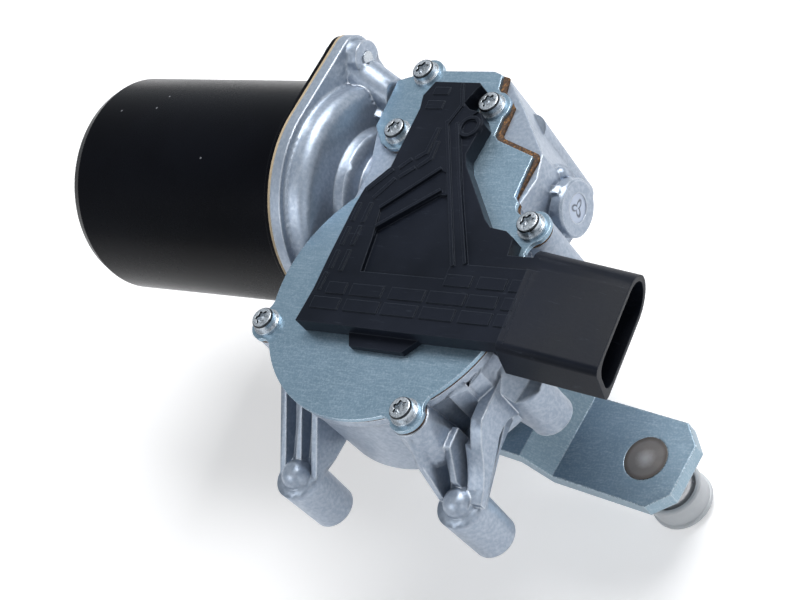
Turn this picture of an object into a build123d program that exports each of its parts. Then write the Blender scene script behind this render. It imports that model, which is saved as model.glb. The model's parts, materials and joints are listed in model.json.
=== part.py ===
from build123d import *
from math import asin, atan2, cos, degrees, hypot, pi, radians, sin, sqrt, tan
import os

# A wiper motor: a can motor turns a worm, the worm turns a wheel, and the wheel's
# shaft swings a crank with a ball. All sizes are in mm. The origin is on the output
# shaft's axis at the height of the gear housing's open face, +X runs along the
# motor from the can to the worm's end, +Z points out through the gear cover.

# worm and wheel
MODULE = 1.25          # axial module of the worm, transverse module of the wheel
TEETH = 50             # one-start worm, so the ratio is 50 to 1
WORM_PITCH_R = 6.35
BACKLASH = 0.28        # taken off each tooth and thread at the pitch line
PRESSURE = 20
WHEEL_FACE = 11.0
WHEEL_WEB = 4.4        # thickness of the wheel's disc between hub and rim
WORM_HALF = 8.5        # half the threaded length

# motor axis
MZ = -15.0             # height of the motor axis below the housing's open face
MY = MODULE * TEETH / 2 + WORM_PITCH_R

# field can
CAN_R = 31.0
CAN_WALL = 1.6
CAN_END_X = -125.0
CAN_EDGE_R = 4.5
FACE_X = -44.5         # housing's flange face
GASKET_T = 0.8
FLANGE_T = 1.6
EAR_ANGLE = 39.0
EAR_AT = 37.4          # radius of the two can screws
EAR_TIP = 43.6
FLANGE_R = 32.8

# end bell of the housing, from the flange to the worm tunnel
BELL_R = 30.3
BELL_X = -34.6         # outer end face of the bell
BELL_WALL = 2.8
SEAT_R = 18.2          # round step that holds the front bearing
SEAT_X = -30.8
NECK_R = 13.4
EAR_BOSS_R = 4.8
EAR_BOSS_L = 7.0

# gear housing
WHEEL_TIP_R = MODULE * (TEETH / 2 + 0.92)
CHAMBER_GAP = 1.0      # running room round the wheel's teeth
CHAMBER_R = WHEEL_TIP_R + CHAMBER_GAP
CHAMBER_WALL = 2.9
CHAMBER_FLOOR = -23.5
FLOOR_T = 3.5
SKIRT_Z = -23.0        # lower edge of the walls around the worm tunnel
DECK_Z = -3.6          # floor of the shallow room over the worm tunnel
DECK_T = 2.9
BLOCK_WALL = 2.8
TUNNEL_R = 11.0
TUNNEL_BORE = 8.5
TUNNEL_END = 24.0
BOSS_R = 7.0
BOSS_X = 30.6
PLUG_R = 3.8
TOWER_R = 9.6
TOWER_ROOT_R = 14.0
TOWER_END = -52.4

# mounting posts, on one plane
POST_R = 5.9
POST_END = -40.0
POST_TOP = -22.5       # the domes stand on this level
DOME_R = 4.3
POSTS = [(-26.0, -43.3), (26.3, -43.3), (8.2, 56.0)]
POST_THREAD_R = 2.55   # M6, as cast and tapped
POST_THREAD_DEPTHS = [12.6, 12.3, 12.0]   # no two holes end on one level
ARM_T = 1.8            # ribs of the two arms
ARM_SLOPE = 0.72       # fall of the arms' upper edges
TRAY_DEPTH = 7.5       # floor of an arm below its upper edge

# gear cover and its screws
COVER_R = 36.7
COVER_T = 1.2
SEAL_T = 0.8
SCREWS = [(-34.9, -13.1), (20.0, -32.7), (33.4, 20.7), (5.9, 55.8), (-20.5, 66.0), (-20.9, 46.8)]
SCREW_R = 1.9
HEAD_R = 3.2
COLLAR_R = 3.8
HEAD_T = 3.4
TAB_R = 4.6

# output shaft and crank
SHAFT_R = 5.0
RUN = 0.03             # radial clearance of the running fits
CRANK_TOP = -55.2      # hub level
CRANK_DROP = 7.9
CRANK_T = 4.5
CRANK_HALF = 12.5
CRANK_ANGLE = -8.2
THROW = 44.7
CRANK_TIP = 56.6
RAMP_FROM, RAMP_TO = 14.3, 20.9
NUT_T = 6.5
NUT_R = 8.0
BALL_R = 6.5
BALL_DOWN = 17.0       # ball's centre under the crank's outer face
RIVET_R = 6.1

# armature
ARM_SHAFT_R = 4.0
BEARING_R = 11.0
CORE_R = 22.6
CORE_X = (-109.0, -67.0)
SLOTS = 12
COMM_R = 11.0
COMM_X = (-56.5, -39.0)
MAGNET_R = (23.5, CAN_R - CAN_WALL)
CARD_R = CAN_R - CAN_WALL - 0.2
CARD_T = 2.4

# parking contacts
CONTACT_X = 0.0
CONTACT_Y = (16.0, 18.4, 20.8)
CONTACT_GAP = 0.15     # above the contact disc

# black cover and plug shroud
TOP_Z = 7.0
PITCH = 17.0           # the plug tilts down by this many degrees
MOUTH = 25.4           # length of the shroud along its axis
SHROUD_T = 15.0
SHROUD_Y = (-15.4, 14.4)
SHROUD_AT = (41.1, 7.4)   # x and z of the shroud's upper rear edge
SHROUD_WALL = 1.5
PLUG_DEPTH = 18.0

CENTRE = (Align.CENTER, Align.CENTER, Align.MIN)
COVER_Z = SEAL_T       # underside of the steel cover


def rod(x, y, z0, z1, r, top_r=None):
    """Upright cylinder, or a cone when top_r is given."""
    if top_r is None:
        return Pos(x, y, z0) * Cylinder(r, z1 - z0, align=CENTRE)
    return Pos(x, y, z0) * Cone(r, top_r, z1 - z0, align=CENTRE)


def along(x0, x1, r, y=MY, z=MZ):
    """Cylinder along the motor's direction."""
    return Pos(x0, y, z) * Rot(0, 90, 0) * Cylinder(r, x1 - x0, align=CENTRE)


def slab(points, z0, z1):
    """Upright prism over a polygon."""
    return extrude(Pos(0, 0, z0) * make_face(Polyline(*points, close=True)), amount=z1 - z0)


def turned(profile, y=MY, z=MZ):
    """Solid of revolution about the motor axis from (x, r) points."""
    return Pos(0, y, z) * revolve(make_face(Polyline(*profile, close=True)), Axis.X)


def turned_z(profile, x=0, y=0):
    """Solid of revolution about an upright axis from (r, z) points."""
    face = make_face(Polyline(*[(r, 0, z) for r, z in profile], close=True))
    return Pos(x, y, 0) * revolve(face, Axis.Z)


def hexagon(across, z0, z1):
    return extrude(Pos(0, 0, z0) * RegularPolygon(across / sqrt(3), 6), amount=z1 - z0)


def ears():
    """Positions of the two can screws in the flange plane."""
    turns = (radians(EAR_ANGLE), radians(EAR_ANGLE + 180))
    return [(MY + EAR_AT * cos(a), MZ + EAR_AT * sin(a)) for a in turns]


def flange_shape(x0, x1, trim=0.0):
    """Round flange with two pointed ears, between two x planes."""
    ear_r = EAR_TIP - EAR_AT - trim
    big = FLANGE_R - trim
    lean = asin((big - ear_r) / EAR_AT)
    body = along(x0, x1, big)
    for side in (0, 180):
        axis = radians(EAR_ANGLE + side)
        pts = []
        for turn in (1, -1):
            a = axis + turn * (pi / 2 - lean)
            pts.append((big * cos(a), big * sin(a)))
            pts.append((EAR_AT * cos(axis) + ear_r * cos(a), EAR_AT * sin(axis) + ear_r * sin(a)))
        pts = [pts[0], pts[1], pts[3], pts[2]]
        wire = Polyline(*[(x0, MY + p, MZ + q) for p, q in pts], close=True)
        body += extrude(make_face(wire), amount=x1 - x0, dir=(1, 0, 0))
    for y, z in ears():
        body += along(x0, x1, ear_r, y, z)
    return body


def cover_outline():
    """Plan of the housing's open face over the worm tunnel, inside the tabs."""
    return [(-29.9, 49.0), (-29.8, 64.0), (-20.0, 67.3), (1.1, 67.3), (4.0, 66.2), (4.8, 61.8), (10.0, 57.0),
            (10.0, 47.4), (11.5, 45.9), (24.4, 41.4), (24.1, 29.5), (30.0, 24.0), (33.0, 14.0), (20.0, 0),
            (-20.0, 0), (-26.2, 24.4), (-17.0, 36.0), (-17.5, 41.5), (-25.5, 43.6)]


def housing_outline():
    """Plan of the cast block under the cover; it reaches past the cover at the right."""
    return [(-30.4, 48.0), (-30.4, 64.6), (-20.5, 67.9), (1.5, 67.9), (5.5, 66.0), (14.0, 57.0), (25.5, 43.5),
            (27.0, 36.0), (25.0, 28.0), (31.0, 18.0), (20.0, 0), (-20.0, 0), (-28.0, 24.0), (-27.0, 36.0)]


def fin(points, x, thick):
    """Upright wall in the YZ plane, from x over its thickness."""
    face = make_face(Polyline(*[(x, y, z) for y, z in points], close=True))
    return extrude(face, amount=thick, dir=(1, 0, 0))


def arm_top(y):
    """Height of an arm's upper edge over a point of its length."""
    return POST_TOP + ARM_SLOPE * (y - POSTS[0][1])


def left_arm():
    """Deep box-like arm with three walls and two open pockets."""
    x, y = POSTS[0]
    low = CHAMBER_FLOOR - FLOOR_T
    inner = -14.0
    side = [(inner, arm_top(inner)), (y, POST_TOP), (y, POST_TOP - 1.6), (y + 7.5, low + 0.8), (y + 13, low),
            (inner, low)]
    floor = [(inner, arm_top(inner) - TRAY_DEPTH), (y + 4, arm_top(y + 4) - TRAY_DEPTH / 2)] + side[2:]
    reach = POST_R + 0.3
    walls = [fin(side, start, ARM_T) for start in (x - reach, x - ARM_T / 2, x + reach - ARM_T)]
    return fin(floor, x - reach, 2 * reach) + walls


def right_arm():
    """Open tray under the second cover screw: a rib each side and a high outer wall."""
    x, y = POSTS[1]
    reach = POST_R + 0.3
    column_y = SCREWS[1][1] - TAB_R
    rib = [(y + 12, -2.0), (column_y - 0.5, -2.0), (column_y - 3.5, -9.0), (y, POST_TOP + 0.8),
           (y, POST_TOP - 3), (y + 12, POST_TOP - 3)]
    middle = [(y + 14, -3.0), (y + 8, -10.0), (y + 3.0, -16.8), (y + 3.0, POST_TOP - 3),
              (y + 14, POST_TOP - 3)]
    outer = [(-14, -1.5), (-22, -3.5), (y + 9, arm_top(y + 9) + 3.0), (y, POST_TOP + 1), (y, POST_TOP - 2.4),
             (y + 15, -19.6), (y + 20, -17.4), (-14, -12.0)]
    floor = [(-20, -18.0), (y + 3, POST_TOP - 1.0), (y, POST_TOP - 1.0), (y, POST_TOP - 2.4), (y + 15, -21.0),
             (-20, -21.0)]
    return (fin(floor, x - reach, 2 * reach) + fin(rib, x - reach, ARM_T) + fin(middle, x - ARM_T / 2, ARM_T)
            + fin(outer, x + reach - 2.4, 2.4))


def post(x, y, top):
    """Mounting post with a little draft and a dome on its upper end."""
    body = rod(x, y, POST_END, top, POST_R, POST_R + 0.5)
    return body + (Pos(x, y, top) * Sphere(DOME_R) & rod(x, y, top - 1, top + 4, DOME_R))


def bell():
    """End bell between the can and the worm tunnel, with the round step of the bearing seat."""
    return turned([(FACE_X, 0), (FACE_X, BELL_R + 1.2), (FACE_X + 3.7, BELL_R + 0.8), (FACE_X + 4.0, BELL_R),
                   (BELL_X - 3.4, BELL_R), (BELL_X - 1.7, BELL_R - 0.6), (BELL_X - 0.5, BELL_R - 2.0),
                   (BELL_X, BELL_R - 5), (BELL_X + 0.2, SEAT_R + 0.8), (BELL_X + 0.8, SEAT_R + 0.2),
                   (SEAT_X - 1.2, SEAT_R), (SEAT_X - 0.3, SEAT_R - 0.9), (SEAT_X, SEAT_R - 3),
                   (SEAT_X + 0.3, NECK_R), (SEAT_X + 9, NECK_R - 0.3), (SEAT_X + 15, TUNNEL_R),
                   (-10, TUNNEL_R),
                   (-10, 0)])


def bell_room():
    """What is hollow inside the bell, down to the front bearing's seat."""
    end = BELL_X - BELL_WALL
    return turned([(FACE_X - 1, 0), (FACE_X - 1, BELL_R - 2.2), (end - 2.0, BELL_R - BELL_WALL),
                   (end, BELL_R - 5.4), (end, BEARING_R), (bearing_end(), BEARING_R), (bearing_end(), 0)])


def bearing_end():
    return SEAT_X - 0.4


def tower():
    """Bearing tower of the output shaft under the chamber."""
    floor = CHAMBER_FLOOR - FLOOR_T
    body = turned_z([(0, floor + 1), (TOWER_ROOT_R, floor + 1), (TOWER_ROOT_R, floor),
                     (TOWER_R + 1.2, floor - 5), (TOWER_R, TOWER_END + 1.2), (TOWER_R - 1.2, TOWER_END),
                     (0, TOWER_END)])
    for k in range(6):
        a = 60 * k + 30
        pts = [(5, floor + 1), (24, floor + 1), (22, floor), (TOWER_R, floor - 12), (5, floor - 12)]
        rib = extrude(make_face(Polyline(*[(r, 0, z) for r, z in pts], close=True)), amount=1.2, both=True)
        body += Rot(0, 0, a) * rib
    return body


def lobe():
    """Rounded lug beside the plug, with a sloping upper face."""
    x, y, r = 35.4, -12.8, 5.4
    low, top = -31.0, -3.0
    turn = Rot(0, 0, degrees(atan2(y, x)))
    lug = rod(x, y, low, -5, r + 0.3, r)
    wedge = turn * Pos(30.5, 0, (low + top) / 2) * Box(14, 2 * r, top - low)
    slope = extrude(make_face(Polyline((32.5, 0, top), (39.8, 0, top - 12), (50, 0, top - 12), (50, 0, 2),
                                       (32.5, 0, 2), close=True)), amount=2 * r, both=True)
    return lug + wedge - turn * slope


def gear_housing():
    outside = CHAMBER_R + CHAMBER_WALL
    chamber = rod(0, 0, CHAMBER_FLOOR - FLOOR_T, -2.4, outside - 1.4, outside - 0.7)
    chamber += rod(0, 0, -2.4, 0, outside)
    outline = housing_outline()
    block = slab(outline, SKIRT_Z, 0)
    inner = offset(make_face(Polyline(*outline, close=True)), amount=-BLOCK_WALL, kind=Kind.INTERSECTION)
    hollow = extrude(Pos(0, 0, SKIRT_Z - 1) * inner, amount=DECK_Z - DECK_T - SKIRT_Z + 1)
    body = block - hollow + chamber
    body += along(-30, TUNNEL_END, TUNNEL_R)
    body += turned([(TUNNEL_END - 8, 0), (TUNNEL_END - 8, TUNNEL_R), (TUNNEL_END, TUNNEL_R - 1.5),
                    (TUNNEL_END + 0.5, BOSS_R - 0.3), (BOSS_X - 3.4, BOSS_R - 0.3),
                    (BOSS_X - 3.4, BOSS_R + 0.6), (BOSS_X - 0.5, BOSS_R + 0.6), (BOSS_X, BOSS_R), (BOSS_X, 0)])
    body += [bell(), flange_shape(FACE_X, FACE_X + 3.4), ear_bosses(), tower(), lobe(), boss_ribs()]
    for x, y in SCREWS:
        low = SKIRT_Z if y > 0 else -20.0
        body += rod(x, y, low, 0, TAB_R)
    body += rod(*SCREWS[1], -14, 0, TAB_R + 1.6, TAB_R + 0.4)
    body += Rot(0, 0, -39) * Pos(CHAMBER_R + 1.9, 0, -8.2) * Box(3.6, 5.0, 13.0)
    body += [left_arm(), right_arm(), post(*POSTS[0], POST_TOP), post(*POSTS[1], POST_TOP)]
    body += rod(*POSTS[2], POST_END, -10, POST_R, POST_R + 0.8)
    body -= rod(0, 0, CHAMBER_FLOOR, 2, CHAMBER_R)
    body -= deck_room()
    body -= bell_room()
    body -= along(-32, BOSS_X - 6, TUNNEL_BORE)
    body -= along(BOSS_X - 7, BOSS_X + 1, PLUG_R)
    body -= rod(0, 0, TOWER_END - 1, CHAMBER_FLOOR + 1, SHAFT_R + 1.75)
    body -= rod(0, 0, TOWER_END - 1, TOWER_END + 3.2, SHAFT_R + 2.6)
    for x, y in SCREWS:
        body -= rod(x, y, -12, 1, SCREW_R)
    for (x, y), depth in zip(POSTS, POST_THREAD_DEPTHS):
        body -= rod(x, y, POST_END - 1, POST_END + depth, POST_THREAD_R)
    for y, z in ears():
        body -= along(FACE_X - 1, FACE_X + EAR_BOSS_L + 1, SCREW_R, y, z)
    return biggest(body)


def biggest(body):
    """The one solid of a cast part, named so a stray chip can't ride along."""
    return max(body.solids(), key=lambda s: s.volume)


def strut(start, end, r0, r1):
    """Round tapered strut between two points."""
    way = Vector(*end) - Vector(*start)
    return Plane(origin=start, z_dir=way) * Cone(r0, r1, way.length, align=CENTRE)


def ear_bosses():
    """Bosses that take the can screws; the upper one runs down to the block's corner."""
    (uy, uz), (ly, lz) = ears()
    up = along(FACE_X, FACE_X + EAR_BOSS_L, EAR_BOSS_R, uy, uz)
    low = along(FACE_X, FACE_X + EAR_BOSS_L, EAR_BOSS_R, ly, lz)
    crest = strut((FACE_X, uy - 1.6, uz - 1.2), (-27.5, 59.6, -4.6), 5.6, 4.8)
    crest &= Pos(FACE_X, 62, 0) * Box(20, 30, 60, align=(Align.MIN, Align.CENTER, Align.CENTER))
    crest -= Pos(-30.6, 62, 0) * Box(20, 30, 20, align=(Align.MIN, Align.CENTER, Align.MIN))
    wedge = extrude(make_face(Polyline((FACE_X, 54, SKIRT_Z), (FACE_X, 54, uz - 2.5), (-29, 54, -3.6),
                                       (-29, 54, SKIRT_Z), close=True)), amount=uy - 0.8 - 54, dir=(0, 1, 0))
    room = slab([(FACE_X - 1, 40), (FACE_X - 1, 62.5), (-34, 61.5), (-32.5, 58), (-32.5, 40)],
                SKIRT_Z - 1, -6)
    return up + low + crest + (wedge - room)


def boss_ribs():
    """Ribs that tie the thrust boss to the walls of the block."""
    length = BOSS_X - 3.4 - TUNNEL_END + 4
    middle = Pos((TUNNEL_END + BOSS_X - 3.4) / 2, MY, MZ)
    return middle * Box(length, 2 * BOSS_R + 3, 2.2) + middle * Box(length, 2.2, 2 * BOSS_R + 3)


def deck_room():
    """Shallow room over the worm tunnel for the leads and contacts."""
    pts = [(-26.0, 52.0), (-26.0, 61.0), (-24.0, 61.5), (-15.0, 62.0), (0.0, 63.0), (1.5, 52.0), (6.0, 50.0),
           (8.0, 44.0), (20.5, 39.0), (20.5, 24.0), (-13.0, 24.0), (-13.5, 45.0), (-15.0, 51.0)]
    return slab(pts, DECK_Z, 1)


def plate_shape(z0, z1, grow=0.0):
    """Plan of the steel cover, also used for its seal."""
    face = Circle(COVER_R + grow)
    face += make_face(Polyline(*cover_outline(), close=True))
    for x, y in SCREWS:
        face += Pos(x, y) * Circle(TAB_R + 0.3)
        reach = 8.0 / hypot(x, y) if hypot(x, y) < 42 else 0
        if reach:
            lean = degrees(atan2(y, x))
            neck = Pos(x * (1 - reach / 2), y * (1 - reach / 2)) * Rot(0, 0, lean)
            face += neck * Rectangle(9, 2 * TAB_R + 3.5)
    return extrude(Pos(0, 0, z0) * face.clean(), amount=z1 - z0)


def gear_cover():
    body = plate_shape(COVER_Z, COVER_Z + COVER_T)
    for x, y in SCREWS:
        body -= rod(x, y, COVER_Z - 1, COVER_Z + 3, SCREW_R + 0.25)
    x0, x1 = CONTACT_X - 7, CONTACT_X + 14.5
    y0, y1 = CONTACT_Y[0] - 2, CONTACT_Y[-1] + 2
    body -= slab([(x0, y0), (x0, y1), (x1, y1), (x1, y0)], COVER_Z - 1, COVER_Z + 3)
    return body


def seal_outline():
    """The cover's plan, but showing past its edge at the right-hand notches."""
    pts = cover_outline()
    strip = [(5.6, 66.2), (6.4, 61.8), (11.4, 57.0), (11.4, 48.5), (12.2, 47.3), (24.9, 42.9), (25.6, 41.6)]
    return pts[:4] + strip + pts[10:]


def seal_plan():
    face = Circle(CHAMBER_R + CHAMBER_WALL)
    face += make_face(Polyline(*seal_outline(), close=True))
    for x, y in SCREWS:
        face += Pos(x, y) * Circle(TAB_R)
    return face


def cover_gasket():
    body = extrude(seal_plan(), amount=SEAL_T)
    body -= rod(0, 0, -1, 2, CHAMBER_R + 0.1)
    body -= deck_room()
    for x, y in SCREWS:
        body -= rod(x, y, -1, 2, SCREW_R + 0.25)
    return body


def cover_screws():
    base = COVER_Z + COVER_T
    group = []
    for x, y in SCREWS:
        s = rod(x, y, -10, base, SCREW_R - 0.02)
        s += rod(x, y, base, base + 0.8, COLLAR_R)
        s += rod(x, y, base + 0.8, base + HEAD_T, HEAD_R)
        s -= rod(x, y, base + HEAD_T - 1.6, base + HEAD_T + 1, 1.5)
        group.append(s)
    return Compound(children=[biggest(g) for g in group])


def motor_can():
    flange_x = FACE_X - GASKET_T - FLANGE_T
    shell = turned([(CAN_END_X, 0), (CAN_END_X, CAN_R - CAN_EDGE_R),
                    (CAN_END_X + 0.35 * CAN_EDGE_R, CAN_R - 1.3), (CAN_END_X + CAN_EDGE_R, CAN_R),
                    (flange_x, CAN_R), (flange_x, 0)])
    shell += flange_shape(flange_x, flange_x + FLANGE_T, 0.3)
    shell -= turned([(CAN_END_X + CAN_WALL, 0), (CAN_END_X + CAN_WALL, CAN_R - CAN_EDGE_R - 0.8),
                     (CAN_END_X + CAN_EDGE_R + 0.6, CAN_R - CAN_WALL), (FACE_X, CAN_R - CAN_WALL),
                     (FACE_X, 0)])
    shell += along(CAN_END_X + 1, CAN_END_X + 9, 9.0)
    shell -= along(CAN_END_X + 1.8, CAN_END_X + 10, 7.2)
    for y, z in ears():
        shell -= along(flange_x - 1, flange_x + FLANGE_T + 1, SCREW_R + 0.2, y, z)
    return biggest(shell)


def can_gasket():
    ring = flange_shape(FACE_X - GASKET_T, FACE_X)
    ring -= along(FACE_X - GASKET_T - 1, FACE_X + 1, CAN_R - CAN_WALL)
    for y, z in ears():
        ring -= along(FACE_X - GASKET_T - 1, FACE_X + 1, SCREW_R + 0.2, y, z)
    return ring


def can_screws():
    x0 = FACE_X - GASKET_T - FLANGE_T
    group = []
    for y, z in ears():
        s = along(x0, FACE_X + EAR_BOSS_L + 0.4, SCREW_R - 0.02, y, z) + along(x0 - 3.0, x0, 3.6, y, z)
        s -= along(x0 - 4, x0 - 1.6, 1.5, y, z)
        group.append(biggest(s))
    return Compound(children=group)


def field_magnets():
    ring = along(CORE_X[0] - 3, CORE_X[1] + 3, MAGNET_R[1]) - along(CORE_X[0] - 4, CORE_X[1] + 4, MAGNET_R[0])
    group = []
    for side in (1, -1):
        keep = Pos((CORE_X[0] + CORE_X[1]) / 2, MY, MZ + side * 21) * Box(60, 46, 30)
        group.append(biggest(ring & keep))
    return Compound(children=group)


def rear_bearing():
    return along(CAN_END_X + 2.0, CAN_END_X + 8.6, 7.2) - along(CAN_END_X, CAN_END_X + 10, ARM_SHAFT_R + RUN)


def front_bearing():
    x0, x1 = BELL_X - BELL_WALL + 0.2, bearing_end()
    ring = along(x0, x1, BEARING_R) - along(x0 - 1, x1 + 1, ARM_SHAFT_R + RUN)
    return ring - (along(x0 - 1, x0 + 0.7, 8.8) - along(x0 - 1, x0 + 0.7, 6.4))


def worm_bush():
    x0 = BOSS_X - 13.5
    return along(x0, BOSS_X - 6, TUNNEL_BORE) - along(x0 - 1, BOSS_X, ARM_SHAFT_R - 0.5 + RUN)


def thrust_plug():
    return along(BOSS_X - 6, BOSS_X - 0.3, PLUG_R) + Pos(BOSS_X - 6, MY, MZ) * Sphere(1.9)


def brush_card():
    x0 = FACE_X - CARD_T
    card = along(x0, FACE_X, CARD_R) - along(x0 - 1, x0 + 4, COMM_R + 1.2)
    for a in (0, 90, 180, 270):
        guide = Pos(FACE_X + 2.2, 0, 18.5) * Box(4.8, 8.2, 9.0)
        slot = Pos(FACE_X + 2.2, 0, 18.5) * Box(3.4, 6.0, 12.0)
        card += Pos(0, MY, MZ) * Rot(a + 45, 0, 0) * (guide - slot)
    return biggest(card)


def brush_at(shape, a):
    return Pos(0, MY, MZ) * Rot(a + 45, 0, 0) * shape


def carbon_brushes():
    x0 = FACE_X + 2.2
    block = Pos(x0, 0, COMM_R + 5.0) * Box(3.3, 5.9, 10.0) - along(x0 - 5, x0 + 5, COMM_R + 0.12, 0, 0)
    return Compound(children=[biggest(brush_at(block, a)) for a in (0, 90, 180, 270)])


def brush_springs():
    x0 = FACE_X + 2.2
    coil = Pos(x0, 0, COMM_R + 10.1) * (Cylinder(1.5, 2.3, align=CENTRE) - Cylinder(0.8, 2.3, align=CENTRE))
    return Compound(children=[biggest(brush_at(coil, a)) for a in (0, 90, 180, 270)])


def chokes():
    group = []
    for a in (0, 180):
        c = Pos(FACE_X + 2.9, 0, 0) * Rot(90, 0, 0) * Cylinder(2.3, 11)
        c += Pos(FACE_X + 1.4, 0, 0) * Box(2.8, 6, 3.0)
        group.append(Pos(0, MY, MZ) * Rot(a, 0, 0) * Pos(0, 0, 19.6) * c)
    return Compound(children=[biggest(g) for g in group])


def gear_wheel_outline(turn):
    """One tooth after another round the wheel, as plain points."""
    r_pitch = MODULE * TEETH / 2
    half = (pi * MODULE / 2 - BACKLASH) / 2
    lean = tan(radians(PRESSURE))
    tip, root = WHEEL_TIP_R, r_pitch - MODULE * 1.2
    flank = [(root, half + (r_pitch - root) * lean), (r_pitch, half), (tip, half - (tip - r_pitch) * lean)]
    pts = []
    for k in range(TEETH):
        mid = 2 * pi * k / TEETH + turn
        pts += [(r, mid - w / r) for r, w in flank]
        pts += [(r, mid + w / r) for r, w in reversed(flank)]
    return [(r * cos(a), r * sin(a)) for r, a in pts]


def worm_wheel():
    """Moulded helical wheel; a gap faces the worm's middle."""
    lead_angle = MODULE / (2 * WORM_PITCH_R)
    turn = WHEEL_FACE / 2 * lead_angle / (MODULE * TEETH / 2)
    gap_up = pi / 2 + pi / TEETH
    low = make_face(Polyline(*gear_wheel_outline(gap_up - turn), close=True))
    high = make_face(Polyline(*gear_wheel_outline(gap_up + turn), close=True))
    z0 = MZ - WHEEL_FACE / 2
    body = loft([Pos(0, 0, z0) * low, Pos(0, 0, z0 + WHEEL_FACE) * high], ruled=True)
    groove = rod(0, 0, 0, WHEEL_FACE, 26.5) - rod(0, 0, -1, WHEEL_FACE + 1, 11.5)
    body -= [Pos(0, 0, MZ + WHEEL_WEB / 2) * groove, Pos(0, 0, MZ - WHEEL_WEB / 2 - WHEEL_FACE) * groove]
    for k in range(8):
        body += Rot(0, 0, 45 * k) * Pos(19, 0, MZ) * Box(16, 1.8, WHEEL_FACE - 1.2)
    return body - rod(0, 0, z0 - 1, z0 + WHEEL_FACE + 1, SHAFT_R + 1.0)


def contact_disc():
    z0 = MZ + WHEEL_FACE / 2
    ring = rod(0, 0, z0 - 0.6, z0 + 0.4, 25.5) - rod(0, 0, z0 - 1, z0 + 1, 19.0)
    return ring - Rot(0, 0, 40) * Pos(24, 0, z0) * Box(7, 5, 4)


def output_shaft():
    z0 = MZ - WHEEL_FACE / 2
    body = rod(0, 0, CRANK_TOP, z0 + WHEEL_FACE + 0.6, SHAFT_R)
    body += rod(0, 0, z0 + 0.2, z0 + WHEEL_FACE - 0.2, SHAFT_R + 1.0)
    body += rod(0, 0, CRANK_TOP - CRANK_T, CRANK_TOP, 3.9, SHAFT_R)
    body += rod(0, 0, CRANK_TOP - CRANK_T - NUT_T - 3.0, CRANK_TOP - CRANK_T, 3.9)
    return body


def shaft_bushes():
    bore = SHAFT_R + RUN
    group = [rod(0, 0, CHAMBER_FLOOR - 9, CHAMBER_FLOOR - 0.2, SHAFT_R + 1.75) - rod(0, 0, -60, 0, bore),
             rod(0, 0, TOWER_END + 3.4, TOWER_END + 12, SHAFT_R + 1.75) - rod(0, 0, -60, 0, bore)]
    return Compound(children=[biggest(g) for g in group])


def shaft_seal():
    return rod(0, 0, TOWER_END + 0.4, TOWER_END + 3.2, SHAFT_R + 2.6) - rod(0, 0, -60, 0, SHAFT_R + 0.05)


def shaft_circlip():
    return rod(0, 0, TOWER_END - 1.6, TOWER_END - 0.2, SHAFT_R + 3.0) - rod(0, 0, -60, 0, SHAFT_R)


def crank_plan():
    """Plan of the crank: round hub, straight sides, clipped outer corners."""
    clip = 5.3
    face = Circle(CRANK_HALF + 0.6)
    face += make_face(Polyline((0, -CRANK_HALF), (CRANK_TIP - clip, -CRANK_HALF),
                               (CRANK_TIP, -CRANK_HALF + clip), (CRANK_TIP, CRANK_HALF - clip),
                               (CRANK_TIP - clip, CRANK_HALF), (0, CRANK_HALF), close=True))
    return face


def crank_arm():
    low = CRANK_TOP - CRANK_DROP
    side = [(-CRANK_HALF - 2, CRANK_TOP), (RAMP_FROM, CRANK_TOP), (RAMP_TO, low), (CRANK_TIP + 1, low),
            (CRANK_TIP + 1, low - CRANK_T), (RAMP_TO - 1.8, low - CRANK_T),
            (RAMP_FROM - 1.8, CRANK_TOP - CRANK_T), (-CRANK_HALF - 2, CRANK_TOP - CRANK_T)]
    strip = extrude(make_face(Polyline(*[(x, 0, z) for x, z in side], close=True)), amount=20, both=True)
    plan = extrude(Pos(0, 0, low - 10) * crank_plan(), amount=30)
    body = strip & plan
    body -= rod(0, 0, CRANK_TOP - CRANK_T, CRANK_TOP, 3.9, SHAFT_R)
    body -= rod(THROW, 0, low - 20, low + 5, 4.0)
    body -= rod(THROW, 0, low - 0.7, low + 1, RIVET_R)
    return Rot(0, 0, CRANK_ANGLE) * biggest(body)


def crank_nut():
    z1 = CRANK_TOP - CRANK_T
    nut = hexagon(13.0, z1 - NUT_T, z1 - 1.2) + rod(0, 0, z1 - 1.4, z1, NUT_R)
    return nut - rod(0, 0, z1 - 20, z1 + 1, 3.9)


def ball_stud():
    low = CRANK_TOP - CRANK_DROP
    mid = low - BALL_DOWN
    body = rod(THROW, 0, low - 0.7, low + 0.15, RIVET_R)
    body += rod(THROW, 0, low - CRANK_T, low - 0.5, 4.0)
    body += rod(THROW, 0, low - CRANK_T - 2.2, low - CRANK_T, 6.2)
    body += rod(THROW, 0, mid, low - CRANK_T, 3.4)
    body += Pos(THROW, 0, mid) * Sphere(BALL_R)
    return Rot(0, 0, CRANK_ANGLE) * body


def ball_cap():
    low = CRANK_TOP - CRANK_DROP
    mid = low - BALL_DOWN
    cup = turned_z([(0, mid - 8.1), (5.2, mid - 8.1), (7.2, mid - 6.6), (8.6, mid - 6.4), (8.6, mid - 5.4),
                    (8.1, mid - 5.2), (8.3, mid + 1.2), (7.9, mid + 1.7), (0, mid + 1.7)], THROW)
    cup -= Pos(THROW, 0, mid) * Sphere(BALL_R + 0.06)
    cup -= rod(THROW, 0, mid + 0.2, mid + 5, 6.45, 8.6)
    return Rot(0, 0, CRANK_ANGLE) * biggest(cup)


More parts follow.
